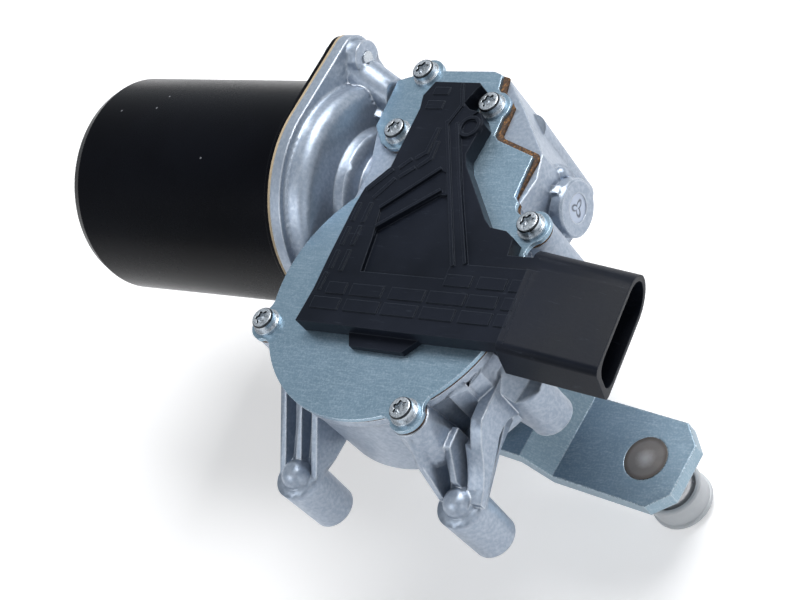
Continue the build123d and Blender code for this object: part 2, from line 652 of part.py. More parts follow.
def worm_thread():
    """Single-start thread: its cross-section turned steadily along the axis."""
    lead = pi * MODULE
    half = (pi * MODULE / 2 - BACKLASH) / 2
    lean = tan(radians(PRESSURE))
    tip, root = WORM_PITCH_R + 0.92 * MODULE, WORM_PITCH_R - 1.2 * MODULE
    at_tip, at_root = half - (tip - WORM_PITCH_R) * lean, half + (WORM_PITCH_R - root) * lean
    steps = 4
    flank = []
    for k in range(steps + 1):
        r = tip + (root - tip) * k / steps
        a = 2 * pi / lead * (at_tip + (at_root - at_tip) * k / steps)
        flank.append((r * cos(a), r * sin(a)))
    other = [(x, -y) for x, y in flank]
    face = make_face([Spline(*flank), ThreePointArc(flank[-1], (-root, 0), other[-1]), Spline(*other[::-1]),
                      ThreePointArc(other[0], (tip, 0), flank[0])])
    length = 2 * WORM_HALF
    section = (Rot(0, 0, -180 * length / lead) * face).face().outer_wire()
    return Solid.extrude_linear_with_rotation(section, (0, 0, 0), (0, 0, length), 360 * length / lead)


def armature_shaft():
    """Shaft with the worm cut on it; a thread crest faces the wheel's gap at x = 0."""
    body = Pos(-WORM_HALF, MY, MZ) * Rot(0, 90, 0) * Rot(0, 0, -90) * worm_thread()
    root = WORM_PITCH_R - 1.2 * MODULE
    body += along(-22.0, -WORM_HALF + 0.2, root - 0.3)
    body += along(WORM_HALF - 0.2, BOSS_X - 14.0, root - 0.3)
    body += along(BOSS_X - 14.5, BOSS_X - 8.05, ARM_SHAFT_R - 0.5)
    body += along(CAN_END_X + 2.4, -21.5, ARM_SHAFT_R)
    return body


def armature_core():
    x0, x1 = CORE_X
    core = along(x0, x1, CORE_R) - along(x0 - 1, x1 + 1, ARM_SHAFT_R)
    slot = Pos(x0 - 1, 0, 0) * (Pos(0, 0, 15.5) * Box(x1 - x0 + 2, 4.4, 9.4, align=(Align.MIN, Align.CENTER,
                                                                                 Align.CENTER)))
    slot += Pos(x0 - 1, 0, 21.5) * Box(x1 - x0 + 2, 1.6, 4, align=(Align.MIN, Align.CENTER, Align.CENTER))
    for k in range(SLOTS):
        core -= Pos(0, MY, MZ) * Rot(360 / SLOTS * k, 0, 0) * slot
    return biggest(core)


def armature_windings():
    x0, x1 = CORE_X
    inner = 8.0
    ends = [turned([(x0 - 7.5, inner + 2), (x0 - 7.5, 17.5), (x0 - 5, 20.0), (x0, 20.0), (x0, inner),
                    (x0 - 5, inner)]),
            turned([(x1 + 7.0, inner + 2), (x1 + 7.0, 17.0), (x1 + 4.5, 20.0), (x1, 20.0), (x1, inner),
                    (x1 + 5, inner)])]
    body = ends[0] + ends[1]
    bar = Pos(x0 - 0.5, 0, 15.5) * Box(x1 - x0 + 1, 4.0, 8.8, align=(Align.MIN, Align.CENTER, Align.CENTER))
    for k in range(SLOTS):
        body += Pos(0, MY, MZ) * Rot(360 / SLOTS * k, 0, 0) * bar
    return biggest(body)


def commutator():
    x0, x1 = COMM_X
    body = along(x0, x1, COMM_R) + along(x0 - 2.0, x0, COMM_R + 1.2)
    for k in range(SLOTS):
        slit = Pos(x0 - 3, 0, COMM_R + 0.3) * Box(x1 - x0 + 4, 0.5, 1.8, align=(Align.MIN, Align.CENTER,
                                                                              Align.CENTER))
        body -= Pos(0, MY, MZ) * Rot(360 / SLOTS * (k + 0.5), 0, 0) * slit
    return biggest(body - along(x0 - 4, x1 + 4, ARM_SHAFT_R))


def black_outline():
    """Plan of the black cover over the steel plate."""
    return [(-21.6, -13.8), (-20.5, -4.3), (-20.4, 5.2), (-19.8, 20.7), (-19.0, 26.5), (-13.8, 33.2),
            (-13.1, 51.7), (-14.0, 55.7), (-12.0, 60.2), (2.6, 60.0), (4.2, 58.4), (1.4, 56.0), (0.4, 53.6),
            (3.2, 51.6), (6.6, 51.0), (8.7, 48.0), (7.5, 38.4), (9.3, 34.9), (22.0, 19.7), (24.7, 17.4),
            (29.8, 16.7), (32.6, 15.0), (33.2, 10.0), (42.2, 9.9), (42.2, -14.0), (15.9, -14.0),
            (12.4, -17.8), (-4.2, -17.6), (-6.1, -13.8)]


def shroud_frame(s, t, y=0.0):
    """Point at s along the plug's axis and t under its upper face."""
    a = radians(PITCH)
    x0, z0 = SHROUD_AT
    return (x0 + s * cos(a) - t * sin(a), y, z0 - s * sin(a) - t * cos(a))


def shroud_block(s0, s1, trim):
    """Tilted block of the plug: one long side round, the other nearly flat."""
    half = SHROUD_T / 2 - trim
    y0, y1 = SHROUD_Y[0] + trim, SHROUD_Y[1] - trim
    base = Plane(origin=shroud_frame(s0, SHROUD_T / 2, 0), x_dir=(0, 1, 0),
                 z_dir=(cos(radians(PITCH)), 0, -sin(radians(PITCH))))
    body = Rectangle(y1 - half - y0 - 2.0, 2 * half, align=(Align.MIN, Align.CENTER))
    corner = 2.0 if trim == 0 else 4.0
    low = Pos(y0, 0) * RectangleRounded(12, 2 * half, corner, align=(Align.MIN, Align.CENTER))
    face = Pos(y0 + 2.0 + 2.0, 0) * Rectangle(y1 - half - y0 - 4.0, 2 * half, align=(Align.MIN, Align.CENTER))
    face = face + low + Pos(y1 - half, 0) * Circle(half)
    return extrude(base * face, amount=s1 - s0)


def plug_cover():
    base = COVER_Z + COVER_T
    top = slab(black_outline(), base, TOP_Z)
    top -= black_relief()
    y0, y1 = -14.0, 9.9
    x0 = COVER_R + 0.4
    side = make_face(Polyline((x0, y0, base - 0.6), (x0, y0, TOP_Z), (42.7, y0, TOP_Z), (42.7, y0, -4.4),
                              (x0 + 1.6, y0, -4.4), close=True))
    hull = extrude(side, amount=y1 - y0, dir=(0, 1, 0))
    body = top + shroud_block(0, MOUTH, 0) + hull
    body -= shroud_block(MOUTH - PLUG_DEPTH, MOUTH + 2, SHROUD_WALL)
    for x, y in SCREWS:
        body -= rod(x, y, COVER_Z, TOP_Z + 1, COLLAR_R + 0.4)
    return biggest(body)


def black_relief():
    """Shallow recess of the main field, with diagonal ribs left standing in it."""
    field = [(-18.2, -11.4), (-17.6, 19.6), (-11.6, 28.0), (-2.4, 28.0), (-2.4, -11.4)]
    cut = slab(field, TOP_Z - 0.8, TOP_Z + 1)
    for x, y in ((-10.6, 8.0), (-10.6, -1.0)):
        cut -= Pos(x, y, TOP_Z - 0.5) * Rot(0, 0, 38) * Box(19, 1.3, 1.4)
    return cut + rod(2.6, 31.2, TOP_Z - 0.6, TOP_Z + 1, 4.2) - rod(2.6, 31.2, TOP_Z - 2, TOP_Z + 2, 3.4)


def plug_pins():
    a = PITCH
    group = []
    for k in range(5):
        y = SHROUD_Y[0] + 6.2 + 4.3 * k
        x, _, z = shroud_frame(MOUTH - PLUG_DEPTH, SHROUD_T / 2)
        pin = Box(12.5, 2.2, 0.8, align=(Align.MIN, Align.CENTER, Align.CENTER))
        group.append(Pos(x, y, z) * Rot(0, a, 0) * pin)
    return Compound(children=group)


def park_contacts():
    """Spring fingers under the black cover that ride just clear of the contact disc."""
    high = COVER_Z + COVER_T
    low = MZ + WHEEL_FACE / 2 + 0.4 + CONTACT_GAP
    thick = 0.5
    side = [(-5, high), (0, high), (11.5, low + thick), (13, low + thick), (13, low), (11.3, low),
            (-0.2, high - thick), (-5, high - thick)]
    finger = extrude(make_face(Polyline(*[(CONTACT_X + x, 0, z) for x, z in side], close=True)), amount=0.7,
                     both=True)
    return Compound(children=[Pos(0, y, 0) * finger for y in CONTACT_Y])


os.makedirs("parts", exist_ok=True)
nodes = {
    "gear_housing": gear_housing,
    "motor_can": motor_can,
    "can_gasket": can_gasket,
    "can_screws": can_screws,
    "field_magnets": field_magnets,
    "rear_bearing": rear_bearing,
    "front_bearing": front_bearing,
    "worm_bush": worm_bush,
    "thrust_plug": thrust_plug,
    "brush_card": brush_card,
    "carbon_brushes": carbon_brushes,
    "brush_springs": brush_springs,
    "chokes": chokes,
    "gear_cover": gear_cover,
    "cover_gasket": cover_gasket,
    "cover_screws": cover_screws,
    "plug_cover": plug_cover,
    "plug_pins": plug_pins,
    "park_contacts": park_contacts,
    "shaft_bushes": shaft_bushes,
    "shaft_seal": shaft_seal,
    "output_shaft": output_shaft,
    "worm_wheel": worm_wheel,
    "contact_disc": contact_disc,
    "shaft_circlip": shaft_circlip,
    "crank_arm": crank_arm,
    "crank_nut": crank_nut,
    "ball_stud": ball_stud,
    "ball_cap": ball_cap,
    "armature_shaft": armature_shaft,
    "armature_core": armature_core,
    "armature_windings": armature_windings,
    "commutator": commutator,
}
for name, make in nodes.items():
    shape = make()
    export_step(shape, f"parts/{name}.step")
    print(name, len(shape.solids()), round(sum(s.volume for s in shape.solids())))
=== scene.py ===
import json
import math

import bpy
from mathutils import Matrix, Vector


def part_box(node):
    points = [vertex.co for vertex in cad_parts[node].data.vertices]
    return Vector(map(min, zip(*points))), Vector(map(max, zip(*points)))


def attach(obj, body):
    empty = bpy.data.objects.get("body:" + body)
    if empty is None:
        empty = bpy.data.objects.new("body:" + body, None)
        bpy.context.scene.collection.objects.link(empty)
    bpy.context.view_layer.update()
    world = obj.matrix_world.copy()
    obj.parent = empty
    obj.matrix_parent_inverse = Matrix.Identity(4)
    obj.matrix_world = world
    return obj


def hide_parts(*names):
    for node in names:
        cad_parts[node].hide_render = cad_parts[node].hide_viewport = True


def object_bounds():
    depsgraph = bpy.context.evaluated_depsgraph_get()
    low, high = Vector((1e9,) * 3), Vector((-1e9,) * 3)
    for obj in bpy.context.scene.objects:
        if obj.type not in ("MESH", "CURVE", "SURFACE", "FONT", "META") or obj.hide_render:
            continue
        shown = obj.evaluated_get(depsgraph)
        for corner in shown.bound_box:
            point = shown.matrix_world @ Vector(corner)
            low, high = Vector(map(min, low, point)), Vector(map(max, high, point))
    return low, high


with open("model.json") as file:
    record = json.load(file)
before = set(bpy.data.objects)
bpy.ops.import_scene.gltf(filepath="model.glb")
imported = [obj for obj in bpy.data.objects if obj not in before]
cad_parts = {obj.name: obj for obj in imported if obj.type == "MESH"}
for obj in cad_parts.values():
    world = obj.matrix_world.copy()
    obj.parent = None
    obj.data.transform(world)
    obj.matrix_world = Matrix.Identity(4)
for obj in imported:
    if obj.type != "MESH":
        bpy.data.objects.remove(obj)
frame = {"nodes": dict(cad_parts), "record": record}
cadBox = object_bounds()
nodes = frame["nodes"]
print("frame loaded,", len(nodes), "nodes")


class Wire:
    # one output of a shader node, so that shader maths reads as plain sums
    def __init__(self, tree, socket):
        self.tree, self.socket = tree, socket

    def maths(self, operation, *terms):
        node = self.tree.nodes.new("ShaderNodeMath")
        node.operation = operation
        for slot, term in zip(node.inputs, terms):
            if isinstance(term, Wire):
                self.tree.links.new(term.socket, slot)
            else:
                slot.default_value = term
        return Wire(self.tree, node.outputs[0])

    def __add__(self, other):
        return self.maths("ADD", self, other)

    def __sub__(self, other):
        return self.maths("SUBTRACT", self, other)

    def __rsub__(self, other):
        return self.maths("SUBTRACT", other, self)

    def __mul__(self, other):
        return self.maths("MULTIPLY", self, other)

    def __truediv__(self, other):
        return self.maths("DIVIDE", self, other)

    def __rtruediv__(self, other):
        return self.maths("DIVIDE", other, self)

    def __pow__(self, other):
        return self.maths("POWER", self, other)

    def __gt__(self, other):
        return self.maths("GREATER_THAN", self, other)

    def __lt__(self, other):
        return self.maths("LESS_THAN", self, other)

    def __abs__(self):
        return self.maths("ABSOLUTE", self)

    __radd__ = __add__
    __rmul__ = __mul__

    def most(self, other):
        return self.maths("MAXIMUM", self, other)

    def least(self, other):
        return self.maths("MINIMUM", self, other)


class Graph:
    # the shader nodes of a material or of the world
    def __init__(self, owner):
        owner.use_nodes = True
        self.tree = owner.node_tree

    def node(self, kind, settings, sockets, out=0):
        node = self.tree.nodes.new(kind)
        for key, value in settings.items():
            setattr(node, key, value)
        for key, value in sockets.items():
            if isinstance(value, Wire):
                self.tree.links.new(value.socket, node.inputs[key])
            else:
                node.inputs[key].default_value = value
        return Wire(self.tree, node.outputs[out])

    def rays(self):
        # 1 for what the camera sees by itself, mirrored in metal, and through clear parts
        return [self.node("ShaderNodeLightPath", {}, {}, kind)
                for kind in ("Is Camera Ray", "Is Glossy Ray", "Is Transmission Ray")]


colourA, colourB, colourOut = 6, 7, 2  # a Mix node's sockets for colours, by number as names repeat
# bevel samples for rounded normals, and the limits of the edge mask that paints highlights on sharp edges
edgeRoundingAndHighlight = {"samples": 4, "flat": 0.005, "sharp": 0.22}


class Finish(Graph):
    # one material: fixed sockets come with the name, the rest is wired by the calls below
    def __init__(self, name, **fixed):
        self.material = bpy.data.materials.new(name)
        super().__init__(self.material)
        self.shader = self.tree.nodes["Principled BSDF"]
        for socket, value in fixed.items():
            self.shader.inputs[socket.replace("_", " ")].default_value = value
        self.place = self.node("ShaderNodeTexCoord", {}, {}, "Object")

    def grain(self, scale, detail=2.0, rough=0.5, stretch=None, turn=0.0):
        # noise, drawn out in one direction where the surface is rolled or scuffed
        place = self.place
        if stretch:
            place = self.node("ShaderNodeMapping", {},
                              {"Vector": place, "Rotation": (0, 0, turn), "Scale": stretch})
        return self.node("ShaderNodeTexNoise", {}, {"Vector": place, "Scale": scale, "Detail": detail,
                                                    "Roughness": rough})

    def cells(self, scale):
        # distance from the middle of the nearest crumb or speck
        return self.node("ShaderNodeTexVoronoi", {"feature": "F1"}, {"Vector": self.place, "Scale": scale},
                         "Distance")

    def between(self, value, low, high, first=0.0, last=1.0):
        return self.node("ShaderNodeMapRange", {"clamp": True},
                         {"Value": value, "From Min": low, "From Max": high, "To Min": first, "To Max": last})

    def blend(self, share, first, second):
        first, second = (end if isinstance(end, Wire) else (*end, 1) for end in (first, second))
        return self.node("ShaderNodeMix", {"data_type": "RGBA"},
                         {"Factor": share, colourA: first, colourB: second}, colourOut)

    def along(self, axis, place=None):
        return self.node("ShaderNodeSeparateXYZ", {}, {0: place or self.place}, axis)

    def vector(self, operation, first, second, out=0):
        return self.node("ShaderNodeVectorMath", {"operation": operation}, {0: first, 1: second}, out)

    def fromMiddle(self, box):
        # place measured from the middle of a CAD node's box
        return self.vector("SUBTRACT", self.place, [(a + b) / 2 for a, b in zip(*box)])

    def rounded(self, radius):
        # the normal that the surface would have with rounded edges
        return self.node("ShaderNodeBevel", {"samples": edgeRoundingAndHighlight["samples"]}, {"Radius": radius})

    def edge(self, radius):
        # 1 on a sharp edge, 0 on a flat face
        hard = self.node("ShaderNodeNewGeometry", {}, {}, "Normal")
        same = self.vector("DOT_PRODUCT", self.rounded(radius), hard, "Value")
        return self.between(1 - same, edgeRoundingAndHighlight["flat"], edgeRoundingAndHighlight["sharp"])

    def relief(self, height, look):
        sockets = {"Height": height, "Distance": look["depth"], "Strength": look["strength"]}
        if "edge" in look:
            sockets["Normal"] = self.rounded(look["edge"])
        self.set(Normal=self.node("ShaderNodeBump", {}, sockets))

    def set(self, **wires):
        for socket, wire in wires.items():
            self.tree.links.new(wire.socket, self.shader.inputs[socket.replace("_", " ")])


def dress(finish, name):
    slots = nodes[name].data.materials
    slots.clear()
    slots.append(finish.material)


# metals: grains are (scale, detail, roughness), drawn ones with their stretch and turn as well
castAluminium = {"metal": 0.72, "colour": (0.34, 0.40, 0.49), "dark": (0.30, 0.355, 0.435),
                 "bright": (0.86, 0.90, 0.95), "skin": (900, 3, 0.6), "flow": (45, 4, 0.55),
                 "flowRange": (0.3, 0.75), "skinRange": (0.4, 0.7), "skinShare": 0.2, "rimShare": 0.8,
                 "roughRange": (0.5, 1.0), "rough": (0.46, 0.38), "skinRough": 0.5, "rimPolish": 0.08,
                 "flowHigh": 0.2, "depth": 0.00006, "strength": 0.8, "edge": 0.0007}


def makeCastAluminium(look):
    finish = Finish("castAluminium", Metallic=look["metal"])
    skin, flow = finish.grain(*look["skin"]), finish.grain(*look["flow"])
    rim = finish.edge(look["edge"])
    body = finish.blend(finish.between(flow, *look["flowRange"]), look["dark"], look["colour"])
    body = finish.blend(look["skinShare"] * finish.between(skin, *look["skinRange"]), body, look["bright"])
    matt = finish.between(flow + look["skinRough"] * skin, *look["roughRange"], *look["rough"])
    # painted highlight: sharp edges are lightened towards the bright colour
    finish.set(Base_Color=finish.blend(look["rimShare"] * rim, body, look["bright"]),
               Roughness=matt - look["rimPolish"] * rim)
    finish.relief(skin + look["flowHigh"] * flow, look)
    return finish


zincPlate = {"metal": 0.9, "colour": (0.27, 0.39, 0.49), "dark": (0.22, 0.33, 0.42),
             "bright": (0.75, 0.85, 0.93), "fleck": (2300, 2, 0.6), "cloud": (30, 3, 0.5),
             "lines": (260, 3, 0.6, (1, 14, 1), 0.7),
             "cloudRange": (0.3, 0.7), "fleckRange": (0.45, 0.7), "lineRange": (0.5, 0.7), "fleckShare": 0.18,
             "lineShare": 0.14, "rimShare": 0.8, "roughRange": (0.6, 1.1), "rough": (0.34, 0.46),
             "lineRough": 0.6, "rimPolish": 0.12, "lineHigh": 0.8, "depth": 0.00002, "strength": 0.6,
             "edge": 0.00035}
crankZinc = {**zincPlate, "colour": (0.29, 0.40, 0.48), "dark": (0.22, 0.31, 0.38),
             "bright": (0.74, 0.82, 0.87), "fleck": (1700, 2, 0.6), "lines": (260, 3, 0.6, (1, 14, 1), 2.1),
             "edge": 0.0006}


def makeZincPlate(name, look):
    finish = Finish(name, Metallic=look["metal"])
    fleck, cloud, lines = (finish.grain(*look[key]) for key in ("fleck", "cloud", "lines"))
    rim = finish.edge(look["edge"])
    body = finish.blend(finish.between(cloud, *look["cloudRange"]), look["dark"], look["colour"])
    light = (look["fleckShare"] * finish.between(fleck, *look["fleckRange"])
             + look["lineShare"] * finish.between(lines, *look["lineRange"]))
    body = finish.blend(light, body, look["bright"])
    matt = finish.between(fleck + look["lineRough"] * lines, *look["roughRange"], *look["rough"])
    # painted highlight: sharp edges are lightened towards the bright colour
    finish.set(Base_Color=finish.blend(look["rimShare"] * rim, body, look["bright"]),
               Roughness=matt - look["rimPolish"] * rim)
    finish.relief(fleck + look["lineHigh"] * lines, look)
    return finish


# the ring colour is painted shade on the heads' rounded rims
screwZinc = {"metal": 0.85, "colour": (0.62, 0.66, 0.70), "dark": (0.45, 0.49, 0.53),
             "bright": (0.85, 0.88, 0.9), "ring": (0.035, 0.04, 0.045), "band": (0.00455, 0.00502),
             "bandFade": (0.0001, 0.00003),
             "fleck": (1800, 2, 0.6), "fleckRange": (0.4, 0.7), "rimShare": 0.35, "rough": (0.26, 0.4),
             "depth": 0.00002, "strength": 0.6, "edge": 0.00025}


def makeScrewZinc(look):
    # the heads' rounded rims carry a band of painted shade and their sharp edges a painted highlight; their
    # tops and recesses stay bright
    finish = Finish("screwZinc", Metallic=look["metal"])
    fleck, height = finish.grain(*look["fleck"]), finish.along("Z")
    # painted shade: a dark band of the ring colour at the height of the heads' rounded rims
    (low, high), (fadeIn, fadeOut) = look["band"], look["bandFade"]
    ring = finish.between(height, low - fadeIn, low) * finish.between(height, high, high + fadeOut, 1, 0)
    body = finish.blend(finish.between(fleck, *look["fleckRange"]), look["dark"], look["colour"])
    # painted highlight: sharp edges are lightened towards the bright colour
    body = finish.blend(look["rimShare"] * finish.edge(look["edge"]), body, look["bright"])
    finish.set(Base_Color=finish.blend(ring, body, look["ring"]),
               Roughness=finish.between(fleck, *look["fleckRange"], *look["rough"]))
    finish.relief(fleck, look)
    return finish


blackPaint = {"specular": 0.06, "colour": (0.0014, 0.0016, 0.0030), "worn": (0.005, 0.006, 0.010),
              "dust": (0.32, 0.33, 0.36), "orange": (700, 2, 0.5), "cloud": (22, 4, 0.55),
              "thin": (60, 1, 0.5), "specks": 190, "speckSize": 0.07, "thinFrom": 0.62, "dustShare": 0.5,
              "wornRange": (0.4, 0.75, 0, 0.5), "rimShare": 0.4, "orangeRough": 0.4, "roughRange": (0.4, 0.9),
              "rough": (0.20, 0.30), "depth": 0.00002, "strength": 0.5, "edge": 0.0006}


def makeBlackPaint(look):
    finish = Finish("blackPaint", Metallic=0.0, Specular_IOR_Level=look["specular"])
    orange, cloud, thin = (finish.grain(*look[key]) for key in ("orange", "cloud", "thin"))
    dust = (finish.cells(look["specks"]) < look["speckSize"]) * (thin > look["thinFrom"])
    # random lighter patches of wear, plus a painted highlight on the sharp edges
    worn = finish.between(cloud, *look["wornRange"]) + look["rimShare"] * finish.edge(look["edge"])
    body = finish.blend(worn, look["colour"], look["worn"])
    matt = finish.between(cloud + look["orangeRough"] * orange, *look["roughRange"], *look["rough"])
    finish.set(Base_Color=finish.blend(look["dustShare"] * dust, body, look["dust"]), Roughness=matt)
    finish.relief(orange, look)
    return finish


turned = {"fine": (2600, 2, 0.5), "cloud": (120, 3, 0.5), "cloudRange": (0.35, 0.7), "roughRange": (0.7, 1.3),
          "roughMore": 0.14, "depth": 0.00001, "strength": 0.5, "edge": 0.0003}
turnedMetals = {
    "bearingSteel": {"colour": (0.56, 0.57, 0.60), "dark": (0.40, 0.41, 0.44), "rough": 0.24, "metal": 1.0},
    "bronze": {"colour": (0.60, 0.40, 0.20), "dark": (0.40, 0.26, 0.13), "rough": 0.38, "metal": 1.0},
    "copper": {"colour": (0.74, 0.38, 0.20), "dark": (0.52, 0.25, 0.13), "rough": 0.28, "metal": 1.0},
    "ferrite": {"colour": (0.10, 0.10, 0.11), "dark": (0.05, 0.05, 0.055), "rough": 0.55, "metal": 0.2},
    "carbon": {"colour": (0.06, 0.06, 0.065), "dark": (0.03, 0.03, 0.033), "rough": 0.5, "metal": 0.3},
}


def makeTurned(name, look):
    finish = Finish(name, Metallic=look["metal"])
    fine, cloud = finish.grain(*turned["fine"]), finish.grain(*turned["cloud"])
    rough = look["rough"]
    body = finish.blend(finish.between(cloud, *turned["cloudRange"]), look["dark"], look["colour"])
    matt = finish.between(fine + cloud, *turned["roughRange"], rough, rough + turned["roughMore"])
    finish.set(Base_Color=body, Roughness=matt)
    finish.relief(fine, turned)
    return finish


studSteel = {"metal": 0.9, "ball": (0.50, 0.50, 0.51), "rim": (0.13, 0.115, 0.105),
             "middle": (0.40, 0.39, 0.385), "dull": (0.20, 0.185, 0.175),
             "headDeep": (0.0030, 0.0022), "smear": (500, 4, 0.6),
             "smearOut": 0.0016, "middleTo": (0.0012, 0.0040), "rimFrom": (0.0048, 0.0056),
             "smearRange": (0.3, 0.7), "rough": (0.24, 0.4), "headRough": 0.12, "dish": 40, "depth": 0.00004,
             "strength": 0.5, "edge": 0.0003}


def makeStudSteel(look):
    # turned steel, with the riveted end's dull face and bright middle about the stud's own axis
    finish = Finish("ballSteel", Metallic=look["metal"])
    low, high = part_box("ball_stud")
    flat = finish.vector("MULTIPLY", finish.fromMiddle((low, high)), (1, 1, 0))
    away = finish.node("ShaderNodeVectorMath", {"operation": "LENGTH"}, {0: flat}, "Value")
    head = finish.between(finish.along("Z"), *(high[2] - deep for deep in look["headDeep"]))
    smear = finish.grain(*look["smear"])
    dull = finish.between(away + look["smearOut"] * smear, *look["middleTo"])
    face = finish.blend(dull, look["middle"], look["dull"])
    face = finish.blend(finish.between(away, *look["rimFrom"]), face, look["rim"])
    matt = finish.between(smear, *look["smearRange"], *look["rough"])
    finish.set(Base_Color=finish.blend(head, look["ball"], face), Roughness=matt + look["headRough"] * head)
    finish.relief(smear + look["dish"] * away * head, look)
    return finish


finishes = {
    "castAluminium": makeCastAluminium(castAluminium),
    "zincPlate": makeZincPlate("zincPlate", zincPlate),
    "crankZinc": makeZincPlate("crankZinc", crankZinc),
    "screwZinc": makeScrewZinc(screwZinc),
    "blackPaint": makeBlackPaint(blackPaint),
    "ballSteel": makeStudSteel(studSteel),
    **{name: makeTurned(name, look) for name, look in turnedMetals.items()},
}
print("metals made")


# plastics, gaskets and seals
blackPlastic = {"specular": 0.10, "colour": (0.005, 0.007, 0.012), "pale": (0.011, 0.014, 0.023),
                "scuff": (0.07, 0.085, 0.11), "spark": (1500, 2, 0.6), "cloud": (35, 4, 0.6),
                "scuffs": (160, 4, 0.7, (1, 9, 2), 0.6), "cloudRange": (0.35, 0.75),
                "scuffRange": (0.62, 0.78), "scuffShare": 0.35, "rimShare": 0.5, "sparkRough": 0.4,
                "roughRange": (0.5, 1.0), "rough": (0.40, 0.55), "cloudHigh": 0.5, "depth": 0.00003,
                "strength": 0.6, "edge": 0.0004}


def makeBlackPlastic(look):
    finish = Finish("blackPlastic", Metallic=0.0, Specular_IOR_Level=look["specular"])
    spark, cloud, scuff = (finish.grain(*look[key]) for key in ("spark", "cloud", "scuffs"))
    body = finish.blend(finish.between(cloud, *look["cloudRange"]), look["colour"], look["pale"])
    # painted highlight on the sharp edges, plus random scuffs, both towards the scuff colour
    worn = (look["rimShare"] * finish.edge(look["edge"])
            + look["scuffShare"] * finish.between(scuff, *look["scuffRange"]))
    matt = finish.between(cloud + look["sparkRough"] * spark, *look["roughRange"], *look["rough"])
    finish.set(Base_Color=finish.blend(worn, body, look["scuff"]), Roughness=matt)
    finish.relief(spark + look["cloudHigh"] * cloud, look)
    return finish


# the rim colour is a painted highlight on sharp edges
moulded = {"spark": (1800, 2, 0.6), "cloud": (60, 4, 0.6), "cloudRange": (0.35, 0.7), "rimShare": 0.2,
           "rim": (0.9, 0.91, 0.92), "roughRange": (0.7, 1.3), "roughMore": 0.15, "depth": 0.00002,
           "strength": 0.5, "edge": 0.0004}
mouldedPlastics = {
    "capPlastic": {"colour": (0.72, 0.74, 0.76), "dark": (0.58, 0.61, 0.64), "rough": 0.38},
    "wheelPlastic": {"colour": (0.82, 0.80, 0.70), "dark": (0.72, 0.69, 0.58), "rough": 0.4},
    "cardPlastic": {"colour": (0.28, 0.16, 0.09), "dark": (0.20, 0.11, 0.06), "rough": 0.5},
    "sealRubber": {"colour": (0.035, 0.035, 0.037), "dark": (0.02, 0.02, 0.02), "rough": 0.55},
}


def makePlastic(name, look):
    finish = Finish(name, Metallic=0.0)
    spark, cloud = finish.grain(*moulded["spark"]), finish.grain(*moulded["cloud"])
    body = finish.blend(finish.between(cloud, *moulded["cloudRange"]), look["dark"], look["colour"])
    rough = look["rough"]
    # painted highlight: sharp edges are lightened towards the rim colour
    rim = moulded["rimShare"] * finish.edge(moulded["edge"])
    matt = finish.between(spark + cloud, *moulded["roughRange"], rough, rough + moulded["roughMore"])
    finish.set(Base_Color=finish.blend(rim, body, moulded["rim"]), Roughness=matt)
    finish.relief(spark, moulded)
    return finish


pressed = {"crumbRange": (0.1, 0.6), "cloudScale": 0.4, "cloud": (3, 0.6), "cloudRange": (0.3, 0.7),
           "rough": (0.75, 0.9), "depth": 0.0001, "strength": 0.7, "edge": 0.0002}
gaskets = {
    "gasketPaper": {"colour": (0.62, 0.50, 0.34), "dark": (0.45, 0.36, 0.24), "crumbs": 900},
    "gasketCork": {"colour": (0.46, 0.22, 0.07), "dark": (0.07, 0.04, 0.025), "crumbs": 1500},
}


def makeGasket(name, look):
    finish = Finish(name, Metallic=0.0)
    crumb = finish.cells(look["crumbs"])
    cloud = finish.grain(look["crumbs"] * pressed["cloudScale"], *pressed["cloud"])
    body = finish.blend(finish.between(crumb, *pressed["crumbRange"]), look["colour"], look["dark"])
    finish.set(Base_Color=finish.blend(finish.between(cloud, *pressed["cloudRange"]), look["dark"], body),
               Roughness=finish.between(cloud, *pressed["cloudRange"], *pressed["rough"]))
    finish.relief(crumb, pressed)
    return finish


finishes["blackPlastic"] = makeBlackPlastic(blackPlastic)
finishes.update((name, makePlastic(name, look)) for name, look in mouldedPlastics.items())
finishes.update((name, makeGasket(name, look)) for name, look in gaskets.items())
print("plastics and gaskets made")


def camelName(slot):
    first, *rest = slot.split("_")
    return first + "".join(word.capitalize() for word in rest)


for part in frame["record"]["subparts"]:
    dress(finishes[camelName(part["material_slot"])], part["node"])

plugStake = {"metal": 0.45, "face": (0.56, 0.63, 0.76), "mark": (0.10, 0.115, 0.15), "lobes": 3,
             "reach": 0.0014, "lobe": 0.0008, "line": (0.00018, 0.0006), "cloud": (700, 3, 0.6),
             "cloudRange": (0.3, 0.7), "markRange": (0.25, 0.5, 0.45, 0.9), "rough": (0.42, 0.55),
             "cloudHigh": 0.4, "depth": 0.0002, "strength": 0.8}


def makeStakedPlug(look):
    # a three-lobed mark pressed in the outer end, about the plug's own axis, with painted shade in its lines
    finish = Finish("stakedPlug", Metallic=look["metal"])
    spot = finish.fromMiddle(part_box("thrust_plug"))
    across, up = finish.along("Y", spot), finish.along("Z", spot)
    away = (across * across + up * up) ** 0.5
    turn = finish.node("ShaderNodeMath", {"operation": "ARCTAN2"}, {0: up, 1: across})
    lobes = finish.node("ShaderNodeMath", {"operation": "COSINE"}, {0: turn * look["lobes"]})
    mark = finish.between(abs(away - lobes * look["lobe"] - look["reach"]), *look["line"], 1, 0)
    cloud = finish.grain(*look["cloud"])
    # painted shade: the pressed lines are darkened towards the mark colour
    dark = mark * finish.between(cloud, *look["markRange"])
    finish.set(Base_Color=finish.blend(dark, look["face"], look["mark"]),
               Roughness=finish.between(cloud, *look["cloudRange"], *look["rough"]))
    finish.relief(cloud * look["cloudHigh"] - mark, look)
    return finish


dress(makeStakedPlug(plugStake), "thrust_plug")


